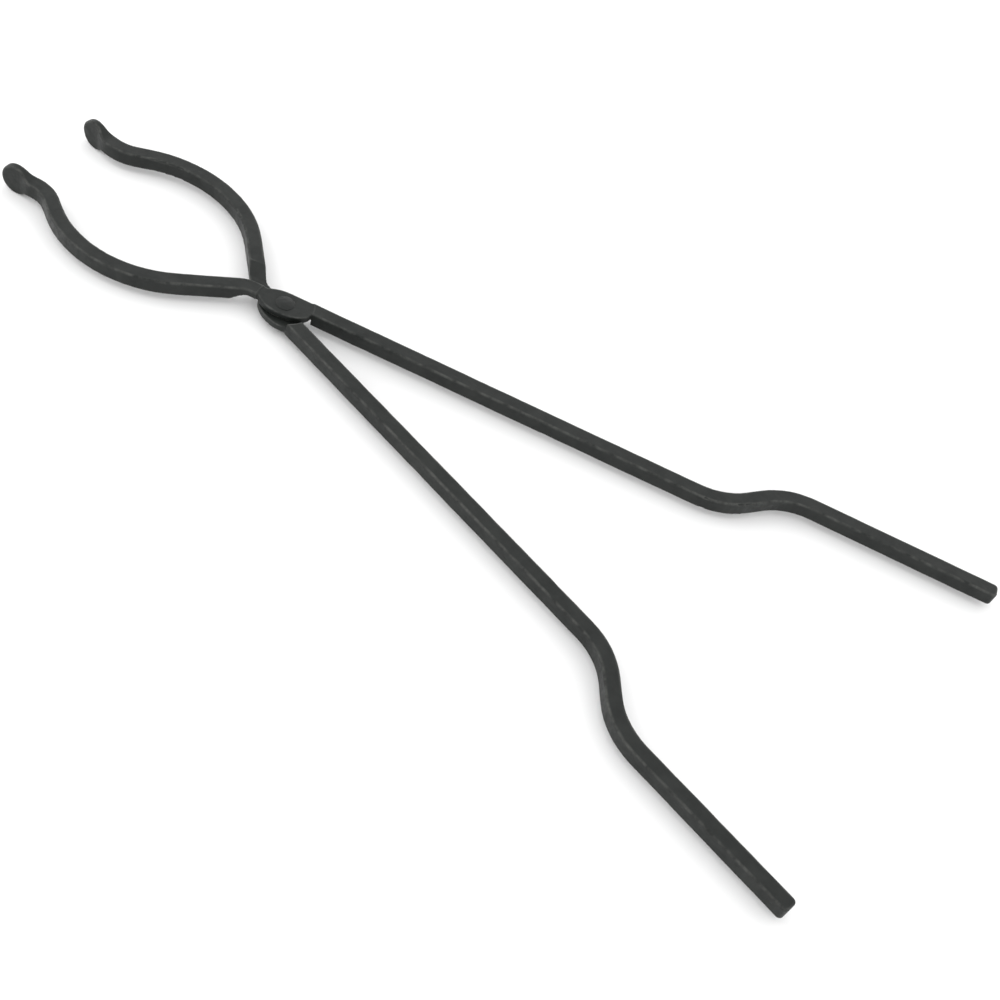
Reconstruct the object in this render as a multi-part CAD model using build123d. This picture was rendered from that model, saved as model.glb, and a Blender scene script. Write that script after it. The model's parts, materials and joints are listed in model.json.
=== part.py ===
"""Crucible tongs: two bent square-bar arms, half-lapped where they cross and joined by one rivet.

Millimetres. The tongs lie flat, +Z up, with the handles towards +X and the jaws towards -X.
Each arm is drawn in its own bar frame: the origin is the rivet, +X runs along the straight handle
and +Y points to the outer side of the handle. The upper arm is made first, with its boss above the
tongs' middle plane. The lower arm is made the same way and turned over about the long axis.
"""
from build123d import *
from collections import namedtuple
import os

# Square bar
BAR = 9.5                 # side of the bar
BAR_EDGE = 1.1            # rounding along its four long edges

# Handle, from the rivet outwards
HANDLE_ANGLE = 13.1       # at rest each handle stands this far off the long axis, degrees
HANDLE_OFFSET = 5.4       # the bar's centreline passes the rivet at this distance, on the outer side
HANDLE_RUN = 268.0        # rivet to the start of the jog
JOG_RADIUS = 45.6
JOG_ANGLE = 41.1          # the first bend, outwards
JOG_RETURN = 41.7         # the second bend, back again
JOG_RUN = 11.6            # straight between the jog's two bends
UPPER_GRIP_RUN = 119.0    # straight grip beyond the jog
LOWER_GRIP_RUN = 102.7
END_CORNER = 2.6          # the grip's two end corners, seen from above

# Jaws: a neck, a bend outwards, a flank, a long bow back in, a lip and a bend forwards
Jaw = namedtuple("Jaw", "neck root_angle flank bow_radius bow_angle lip tip_radius tip_angle")
UPPER_JAW = Jaw(21.6, 30.8, 37.0, 71.0, 75.1, 9.2, 21.4, 40.3)
LOWER_JAW = Jaw(18.9, 31.3, 33.0, 72.4, 79.2, 7.4, 26.3, 39.6)
NECK_OFFSET = 1.1         # the jaw bar's centreline passes the rivet at this distance
ROOT_RADIUS = 15.0

# Paddle: the jaw's end, forged into an upright round flat
PADDLE_RADIUS = 9.6
PADDLE_THICK = 4.8
PADDLE_REACH = 13.2       # end of the last bend to the paddle's centre
PADDLE_TAPER = 12.0       # length over which the bar thins to the paddle
PADDLE_NECK_RADIUS = 9.0  # where the bar's edge sweeps up into the round

# Boss: the half-thickness oval around the rivet, and the lap between the arms
BOSS_LENGTH = 34.0
Boss = namedtuple("Boss", "width offset")  # the oval's middle passes the rivet on the outer side
UPPER_BOSS = Boss(19.0, 0.0)
LOWER_BOSS = Boss(22.8, 2.2)
BOSS_TOP = 4.2            # its outer face lies just under the bar's face
WEB_REACH = 2.5           # how far the boss runs on into the full bar
WEB_INSET = 0.5           # from the bar's sides to the web's sides
LAP_GAP = 0.1             # between the mating faces of the two bosses
LAP_CLEARANCE = 0.4       # between one arm's full bar and the other arm, seen from above
CLOSING_TRAVEL = 19.5     # the laps are open for this much closing, degrees
LAP_POSITIONS = 6
LAP_FLANK = 19.0          # length of the flank that passes through the other arm's lap
LAP_RAMP = 8.0            # each bar thins to its lap over this length

# Rivet
RIVET_DIAMETER = 8.0
RUNNING_CLEARANCE = 0.06  # radial, in the upper arm; the lower arm holds the rivet tight
HEAD_DIAMETER = 12.6
HEAD_HEIGHT = 1.3
HEAD_GAP = 0.05           # under the upper head

# Sizes for cutting tools and for picking edges
TALL = 4 * BAR            # more than any height in the model
BROAD = 10 * TALL         # more than the lap's length and width
NEAR = 0.01               # shorter distances count as nothing


def follow(start, heading, steps):
    """Straight runs (length) and tangent bends (radius, angle); a positive angle turns left."""
    edges = []
    point = Vector(*start)
    direction = Vector(1, 0).rotate(Axis.Z, heading)
    for step in steps:
        if isinstance(step, tuple):
            edge = JernArc(point, direction, *step)
        else:
            edge = Line(point, point + direction * step)
        edges.append(edge)
        point = edge @ 1
        direction = edge % 1
    return Wire(edges)


def swept(section, path):
    """A section with its X upwards, swept along a flat path."""
    return sweep(Plane(path @ 0, x_dir=(0, 0, 1), z_dir=path % 0) * section, path=path)


def handle(grip_run):
    """Straight handle, outward jog and grip, with rounded long edges and end corners."""
    steps = [HANDLE_RUN, (JOG_RADIUS, JOG_ANGLE), JOG_RUN, (JOG_RADIUS, -JOG_RETURN), grip_run]
    path = follow((0, HANDLE_OFFSET), 0, steps)
    bar = swept(Rectangle(BAR, BAR), path)
    grip_end = bar.faces().sort_by(Axis.X)[-1]
    bar = fillet(grip_end.edges().filter_by(Axis.Z), END_CORNER)
    edges = bar.edges().filter_by(lambda e: e.center().X > NEAR)
    level_edges = edges.filter_by(lambda e: abs(e.center().Z) > BAR / 2 - NEAR)
    return fillet(level_edges, BAR_EDGE)


def jaw_path(jaw):
    """Centreline of a jaw, from beside the rivet to the start of the paddle."""
    steps = [
        jaw.neck,
        (ROOT_RADIUS, jaw.root_angle),
        jaw.flank,
        (jaw.bow_radius, -jaw.bow_angle),
        jaw.lip,
        (jaw.tip_radius, jaw.tip_angle),
    ]
    return follow((0, NECK_OFFSET), 180, steps)


def paddle():
    """Upright round flat that grows out of the square bar: +X forwards, starting at x = 0."""
    side = Pos(PADDLE_REACH, 0) * Circle(PADDLE_RADIUS)
    side += Pos(PADDLE_REACH / 2, 0) * Rectangle(PADDLE_REACH, BAR)
    corners = side.vertices().filter_by(lambda v: 0 < v.X < PADDLE_REACH)
    side = fillet(corners, PADDLE_NECK_RADIUS)
    tip = PADDLE_REACH + PADDLE_RADIUS + PADDLE_THICK
    half = PADDLE_THICK / 2
    upper_line = Spline((0, BAR / 2), (PADDLE_TAPER, half), tangents=[(1, 0), (1, 0)])
    lower_line = Spline((0, -BAR / 2), (PADDLE_TAPER, -half), tangents=[(1, 0), (1, 0)])
    ends = Polyline((PADDLE_TAPER, half), (tip, half), (tip, -half), (PADDLE_TAPER, -half))
    root = Line((0, -BAR / 2), (0, BAR / 2))
    plan = make_face([upper_line, ends, lower_line, root])
    solid = extrude(plan, TALL, both=True) & extrude(Plane.XZ * side, TALL, both=True)
    edges = solid.edges().filter_by(lambda e: e.center().X > NEAR)
    return fillet(edges, BAR_EDGE)


def jaw_bar(jaw):
    """Bent jaw with its paddle."""
    path = jaw_path(jaw)
    bar = swept(RectangleRounded(BAR, BAR, BAR_EDGE), path)
    end = Plane(path @ 1, x_dir=path % 1, z_dir=(0, 0, 1))
    return bar + end.location * paddle()


def boss(size):
    """Half-thickness oval above the middle plane, with a web into each full bar."""
    reach = BOSS_LENGTH / 2 + WEB_REACH
    oval = Pos(0, size.offset) * Ellipse(BOSS_LENGTH / 2, size.width / 2)
    outline = oval & Circle(BOSS_LENGTH / 2)
    for side, offset in ((1, HANDLE_OFFSET), (-1, NECK_OFFSET)):
        outline += Pos(side * reach / 2, offset) * Rectangle(reach, BAR - 2 * WEB_INSET)
    return Pos(0, 0, LAP_GAP / 2) * extrude(outline, BOSS_TOP - LAP_GAP / 2)


def arm(jaw, other_jaw, boss_size, grip_run):
    """Upper arm in the tongs' own axes, with the other arm's way cut into its lower half."""
    lap_disc = Cylinder(BOSS_LENGTH / 2 + LAP_CLEARANCE, TALL)
    bars = handle(grip_run) + jaw_bar(jaw) - lap_disc
    bore = Cylinder(RIVET_DIAMETER / 2, TALL)
    solid = Rot(0, 0, HANDLE_ANGLE) * (bars + boss(boss_size) - bore)
    return solid - lap(other_jaw)


def lap(other_jaw):
    """Space below the middle plane that the other arm's jaw passes through as the jaws close."""
    path = follow(
        (0, NECK_OFFSET), 180, [other_jaw.neck, (ROOT_RADIUS, other_jaw.root_angle), LAP_FLANK]
    )
    way = BAR / 2 + LAP_CLEARANCE
    wide = way + 2 * LAP_RAMP
    start = -LAP_GAP
    section = make_face(
        Polyline((start, -way), (start, way), (BAR, wide), (BAR, -wide), close=True)
    )
    strip = swept(section, path)
    crossing = Rot(180, 0, 0) * Rot(0, 0, HANDLE_ANGLE) * strip
    turns = [CLOSING_TRAVEL * i / (LAP_POSITIONS - 1) for i in range(LAP_POSITIONS)]
    ways = [Rot(0, 0, turn) * crossing for turn in turns]
    below = Pos(0, 0, LAP_GAP / 2 - TALL / 2) * Box(BROAD, BROAD, TALL)
    return (ways[0] + ways[1:]) & below


def head():
    """Low round rivet head standing on the plane z = 0."""
    arc = ThreePointArc((HEAD_DIAMETER / 2, 0), (0, HEAD_HEIGHT), (-HEAD_DIAMETER / 2, 0))
    face = make_face([arc, Line((-HEAD_DIAMETER / 2, 0), (HEAD_DIAMETER / 2, 0))])
    half = Plane.XZ * (face & Pos(HEAD_DIAMETER / 2, 0) * Rectangle(HEAD_DIAMETER, TALL))
    return revolve(half, Axis.Z)


def rivet():
    """Shank through both bosses, with a head on each side."""
    top = BOSS_TOP + HEAD_GAP
    shank = Pos(0, 0, (top - BOSS_TOP) / 2) * Cylinder(RIVET_DIAMETER / 2, top + BOSS_TOP)
    return shank + Pos(0, 0, top) * head() + Pos(0, 0, -BOSS_TOP) * Rot(180, 0, 0) * head()


def tongs():
    """All pieces by name, with the rivet at the origin."""
    upper = arm(UPPER_JAW, LOWER_JAW, UPPER_BOSS, UPPER_GRIP_RUN)
    lower = arm(LOWER_JAW, UPPER_JAW, LOWER_BOSS, LOWER_GRIP_RUN)
    running_bore = Cylinder(RIVET_DIAMETER / 2 + RUNNING_CLEARANCE, TALL)
    return {
        "upper_arm": upper - running_bore,
        "lower_arm": Rot(180, 0, 0) * lower,
        "pivot_rivet": rivet(),
    }


def on_the_bench(pieces):
    """The pieces moved so that the origin is under the middle of their box."""
    box = Compound([solid for piece in pieces.values() for solid in piece.solids()]).bounding_box()
    shift = Pos(-(box.min.X + box.max.X) / 2, -(box.min.Y + box.max.Y) / 2, -box.min.Z)
    return {name: shift * piece for name, piece in pieces.items()}


os.makedirs("parts", exist_ok=True)
for name, piece in on_the_bench(tongs()).items():
    export_step(piece, f"parts/{name}.step")
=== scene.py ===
import itertools
import json
import math

import bpy
import numpy as np
from mathutils import Euler, Matrix, Vector


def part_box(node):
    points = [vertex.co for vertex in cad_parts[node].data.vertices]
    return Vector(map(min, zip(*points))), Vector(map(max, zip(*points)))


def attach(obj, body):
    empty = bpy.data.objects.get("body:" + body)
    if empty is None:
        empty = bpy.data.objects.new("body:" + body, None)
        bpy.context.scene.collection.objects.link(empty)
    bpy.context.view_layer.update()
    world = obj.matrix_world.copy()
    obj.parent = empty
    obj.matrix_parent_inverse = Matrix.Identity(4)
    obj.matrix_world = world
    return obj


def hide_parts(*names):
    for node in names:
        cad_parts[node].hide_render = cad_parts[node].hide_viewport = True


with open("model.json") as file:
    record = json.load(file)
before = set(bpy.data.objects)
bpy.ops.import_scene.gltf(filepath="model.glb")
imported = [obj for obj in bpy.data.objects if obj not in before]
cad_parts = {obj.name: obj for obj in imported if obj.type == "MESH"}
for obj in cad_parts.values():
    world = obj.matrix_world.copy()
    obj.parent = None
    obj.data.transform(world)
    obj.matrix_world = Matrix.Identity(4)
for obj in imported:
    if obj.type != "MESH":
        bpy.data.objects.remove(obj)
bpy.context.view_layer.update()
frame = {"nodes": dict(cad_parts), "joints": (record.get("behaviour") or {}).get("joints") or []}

# Crucible tongs: two forged arms and their rivet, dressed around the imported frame. Lengths in metres.

MM = 0.001
PIVOT = Vector(frame["joints"][0]["pos_m"])

# Camera: looks down at a point on the tongs' middle plane
CAMERA_AIM = PIVOT + Vector((176.9, -25.6, 0)) * MM
CAMERA_DISTANCE = 792.0 * MM
CAMERA_PITCH = 48.13          # degrees below the horizon
CAMERA_YAW = 16.33            # degrees from +Y towards -X
CAMERA_ROLL = 22.81           # degrees about its own line of sight
CAMERA_LENS = 50.95           # on a 36 mm sensor

# Skin: the even mesh that the forged surface is worked into
ARM_GRAIN = 0.5 * MM
RIVET_GRAIN = 0.25 * MM
WELD_REACH = 0.001 * MM       # closer vertices are one

# Forging: waves are (wavelength, height) and marks are (count, radius, depth)
ARM_WAVES = [(30 * MM, 0.10 * MM), (11 * MM, 0.07 * MM), (4 * MM, 0.03 * MM)]
ARM_MARKS = [(120, 4 * MM, 0.10 * MM), (160, 1.2 * MM, 0.10 * MM)]
RIVET_WAVES = [(3 * MM, 0.06 * MM)]
RIVET_MARKS = [(70, 1.6 * MM, 0.12 * MM)]
ARM_SEEDS = {"upper_arm": 7, "lower_arm": 19}
RIVET_SEED = 31
NOISE_GAIN = 1.6              # brings the noise's values up to about 1

# Painted edge highlight: the vertex attribute that masks it, how many edges out it looks, and the share
# of vertices below full scale
EDGE_HIGHLIGHT_ATTRIBUTE = "painted_edge_highlight"
ARM_HIGHLIGHT_REACH = 4
RIVET_HIGHLIGHT_REACH = 3
HIGHLIGHT_PERCENTILE = 97

# Studio
FLOOR_HALF = 6.0
SKY_STRENGTH = 1.3
KEY_AZIMUTH = -58
KEY_ELEVATION = 40
KEY_DISTANCE = 1.6
KEY_SIZE = 1.0
KEY_POWER = 4


def add_camera():
    data = bpy.data.cameras.new("camera")
    data.lens = CAMERA_LENS
    camera = bpy.data.objects.new("camera", data)
    aim = Euler((math.radians(90 - CAMERA_PITCH), 0, math.radians(CAMERA_YAW))).to_matrix()
    turn = aim @ Matrix.Rotation(math.radians(CAMERA_ROLL), 3, "Z")
    camera.rotation_euler = turn.to_euler()
    camera.location = CAMERA_AIM + turn @ Vector((0, 0, CAMERA_DISTANCE))
    bpy.context.scene.collection.objects.link(camera)
    bpy.context.scene.camera = camera


class Noise:
    """Smooth gradient noise in space from a seeded table; its values stay within about 1 of zero."""

    def __init__(self, seed):
        rng = np.random.default_rng(seed)
        self.order = np.tile(rng.permutation(256), 2)
        slopes = rng.normal(size=(256, 3))
        self.slopes = slopes / np.linalg.norm(slopes, axis=1, keepdims=True)

    def __call__(self, points, wavelength):
        places = points / wavelength
        cells = np.floor(places).astype(int)
        inside = places - cells
        fade = inside**3 * (inside * (inside * 6 - 15) + 10)
        total = np.zeros(len(points))
        for corner in itertools.product((0, 1), repeat=3):
            x, y, z = ((cells + corner) % 256).T
            slope = self.slopes[self.order[self.order[self.order[x] + y] + z]]
            weight = np.prod(np.where(corner, fade, 1 - fade), axis=1)
            total += weight * np.sum(slope * (inside - corner), axis=1)
        return total * NOISE_GAIN


def add_modifier(piece, kind, **settings):
    modifier = piece.modifiers.new(kind.lower(), kind)
    for name, value in settings.items():
        setattr(modifier, name, value)


def even_skin(node, name, grain):
    """A new piece with an even quad mesh that lies on the CAD node's surface."""
    source = frame["nodes"][node]
    piece = bpy.data.objects.new(name, source.data.copy())
    bpy.context.scene.collection.objects.link(piece)
    add_modifier(piece, "WELD", merge_threshold=WELD_REACH)
    add_modifier(piece, "REMESH", mode="VOXEL", voxel_size=grain)
    add_modifier(piece, "SHRINKWRAP", target=source, wrap_method="NEAREST_SURFACEPOINT")
    add_modifier(piece, "SMOOTH", factor=0.5, iterations=2)
    evaluated = piece.evaluated_get(bpy.context.evaluated_depsgraph_get())
    mesh = bpy.data.meshes.new_from_object(evaluated)
    piece.modifiers.clear()
    piece.data = mesh
    mesh.name = name
    mesh.materials.clear()
    mesh.shade_smooth()
    return piece


def read(collection, attribute, width=3):
    values = np.zeros(len(collection) * width)
    collection.foreach_get(attribute, values)
    return values.reshape(-1, width)


def dents(points, count, radius, depth, seed):
    """How deep shallow round dents of about that radius and depth press in at each point."""
    rng = np.random.default_rng(seed)
    pressed = np.zeros(len(points))
    for centre in points[rng.integers(len(points), size=count)]:
        size = radius * rng.uniform(0.6, 1.5)
        distance = np.linalg.norm(points - centre, axis=1) / size
        bowl = np.clip(1 - distance**2, 0, 1) ** 2
        pressed = np.maximum(pressed, depth * rng.uniform(0.4, 1.0) * bowl)
    return pressed


def forge(piece, node, waves, marks, seed):
    """Works hammer waves and dents into the skin and keeps it within the CAD node's box."""
    mesh = piece.data
    points = read(mesh.vertices, "co")
    normals = read(mesh.vertices, "normal")
    noise = Noise(seed)
    push = np.zeros(len(points))
    for wavelength, height in waves:
        push += height * noise(points, wavelength)
    for i, (count, radius, depth) in enumerate(marks):
        push -= dents(points, count, radius, depth, seed + i + 1)
    low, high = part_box(node)
    moved = np.clip(points + normals * push[:, None], low, high)
    mesh.vertices.foreach_set("co", moved.ravel())
    mesh.update()


# The stored value is the mask for the painted edge highlight in the steel materials.
def mark_painted_highlight(piece, reach):
    """Stores how far each vertex stands out from its surroundings: 0.5 on flat ground, 1 on edges."""
    mesh = piece.data
    points = read(mesh.vertices, "co")
    edges = read(mesh.edges, "vertices", 2).astype(int)
    count = np.bincount(edges.ravel(), minlength=len(points))[:, None]
    mean = points.copy()
    for _ in range(reach):
        total = np.zeros_like(mean)
        np.add.at(total, edges[:, 0], mean[edges[:, 1]])
        np.add.at(total, edges[:, 1], mean[edges[:, 0]])
        mean = total / count
    out = np.sum((points - mean) * read(mesh.vertices, "normal"), axis=1)
    scale = np.percentile(np.abs(out), HIGHLIGHT_PERCENTILE)
    values = np.clip(0.5 + 0.5 * out / scale, 0, 1)
    attribute = mesh.attributes.new(EDGE_HIGHLIGHT_ATTRIBUTE, "FLOAT", "POINT")
    attribute.data.foreach_set("value", values.astype(np.float32))


def add_arm(node, body):
    piece = even_skin(node, node + "_forged", ARM_GRAIN)
    forge(piece, node, ARM_WAVES, ARM_MARKS, ARM_SEEDS[node])
    mark_painted_highlight(piece, ARM_HIGHLIGHT_REACH)
    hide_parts(node)
    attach(piece, body)
    return piece


def add_rivet():
    node = "pivot_rivet"
    piece = even_skin(node, node + "_hammered", RIVET_GRAIN)
    forge(piece, node, RIVET_WAVES, RIVET_MARKS, RIVET_SEED)
    mark_painted_highlight(piece, RIVET_HIGHLIGHT_REACH)
    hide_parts(node)
    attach(piece, "lower")
    return piece


def new_material(name):
    material = bpy.data.materials.new(name)
    material.use_nodes = True
    nodes = material.node_tree.nodes
    return material, nodes, material.node_tree.links, nodes["Principled BSDF"]


def black_steel(name, dark, light, highlight_colour):
    """Satin black heat scale on forged steel, with a painted highlight that makes its convex edges
    lighter.
    """
    material, nodes, links, shader = new_material(name)
    place = nodes.new("ShaderNodeTexCoord")

    def texture(scale, detail=4.0, roughness=0.6):
        node = nodes.new("ShaderNodeTexNoise")
        node.inputs["Scale"].default_value = scale
        node.inputs["Detail"].default_value = detail
        node.inputs["Roughness"].default_value = roughness
        links.new(place.outputs["Object"], node.inputs["Vector"])
        return node.outputs["Fac"]

    def ramp(source, low, high, values=None):
        node = nodes.new("ShaderNodeMapRange")
        node.inputs["From Min"].default_value = low
        node.inputs["From Max"].default_value = high
        if values:
            node.inputs["To Min"].default_value, node.inputs["To Max"].default_value = values
        links.new(source, node.inputs["Value"])
        return node.outputs["Result"]

    def mix(factor, first, second):
        node = nodes.new("ShaderNodeMix")
        node.data_type = "RGBA"
        links.new(factor, node.inputs["Factor"])
        for socket, value in ((node.inputs["A"], first), (node.inputs["B"], second)):
            if isinstance(value, tuple):
                socket.default_value = (*value, 1)
            else:
                links.new(value, socket)
        return node.outputs["Result"]

    # Painted highlight: a lighter base colour on convex edges, broken up by noise.
    painted_edge_highlight = nodes.new("ShaderNodeAttribute")
    painted_edge_highlight.attribute_name = EDGE_HIGHLIGHT_ATTRIBUTE
    scale_patches = mix(ramp(texture(70), 0.38, 0.62), dark, light)
    edges = nodes.new("ShaderNodeMath")
    edges.operation = "MULTIPLY"
    links.new(ramp(painted_edge_highlight.outputs["Fac"], 0.62, 1.0), edges.inputs[0])
    links.new(ramp(texture(160), 0.35, 0.65), edges.inputs[1])
    links.new(mix(edges.outputs[0], scale_patches, highlight_colour), shader.inputs["Base Color"])
    links.new(ramp(texture(240, 6), 0.3, 0.7, values=(0.36, 0.56)), shader.inputs["Roughness"])

    grain = nodes.new("ShaderNodeBump")
    grain.inputs["Strength"].default_value = 0.35
    grain.inputs["Distance"].default_value = 0.05 * MM
    links.new(texture(2200, 3), grain.inputs["Height"])
    pits = nodes.new("ShaderNodeBump")
    pits.inputs["Strength"].default_value = 0.5
    pits.inputs["Distance"].default_value = 0.15 * MM
    links.new(texture(420, 5, 0.55), pits.inputs["Height"])
    links.new(grain.outputs["Normal"], pits.inputs["Normal"])
    links.new(pits.outputs["Normal"], shader.inputs["Normal"])
    shader.inputs["Specular IOR Level"].default_value = 0.29
    return material


def add_floor():
    mesh = bpy.data.meshes.new("floor")
    corners = [(x * FLOOR_HALF, y * FLOOR_HALF, 0) for x, y in ((-1, -1), (1, -1), (1, 1), (-1, 1))]
    mesh.from_pydata(corners, [], [(0, 1, 2, 3)])
    floor = bpy.data.objects.new("floor", mesh)
    bpy.context.scene.collection.objects.link(floor)
    material, _, _, shader = new_material("pale_floor")
    shader.inputs["Base Color"].default_value = (0.9, 0.9, 0.9, 1)
    shader.inputs["Roughness"].default_value = 0.9
    shader.inputs["Specular IOR Level"].default_value = 0.1
    mesh.materials.append(material)


def add_light(name, azimuth, elevation, distance, size, power):
    """Square soft light that faces the pivot; azimuth 0 stands on the -Y side and 90 on the +X side."""
    data = bpy.data.lights.new(name, "AREA")
    data.shape = "SQUARE"
    data.size = size
    data.energy = power
    light = bpy.data.objects.new(name, data)
    a, e = math.radians(azimuth), math.radians(elevation)
    way = Vector((math.sin(a) * math.cos(e), -math.cos(a) * math.cos(e), math.sin(e)))
    light.location = PIVOT + way * distance
    light.rotation_euler = way.to_track_quat("Z", "Y").to_euler()
    bpy.context.scene.collection.objects.link(light)


def add_studio():
    world = bpy.data.worlds.new("studio")
    world.use_nodes = True
    background = world.node_tree.nodes["Background"]
    background.inputs["Color"].default_value = (1, 1, 1, 1)
    background.inputs["Strength"].default_value = SKY_STRENGTH
    bpy.context.scene.world = world
    bpy.context.scene.view_settings.view_transform = "Standard"
    add_light("key", KEY_AZIMUTH, KEY_ELEVATION, KEY_DISTANCE, KEY_SIZE, KEY_POWER)


add_camera()
# The last colour of each steel is its painted edge highlight.
arm_material = black_steel(
    "black_forged_steel", (0.0055, 0.0072, 0.0062), (0.0115, 0.0135, 0.012), (0.055, 0.057, 0.053)
)
rivet_material = black_steel(
    "hammered_rivet_steel", (0.006, 0.008, 0.007), (0.014, 0.015, 0.014), (0.06, 0.061, 0.058)
)
for node, body in (("upper_arm", "upper"), ("lower_arm", "lower")):
    add_arm(node, body).data.materials.append(arm_material)
add_rivet().data.materials.append(rivet_material)
add_floor()
add_studio()
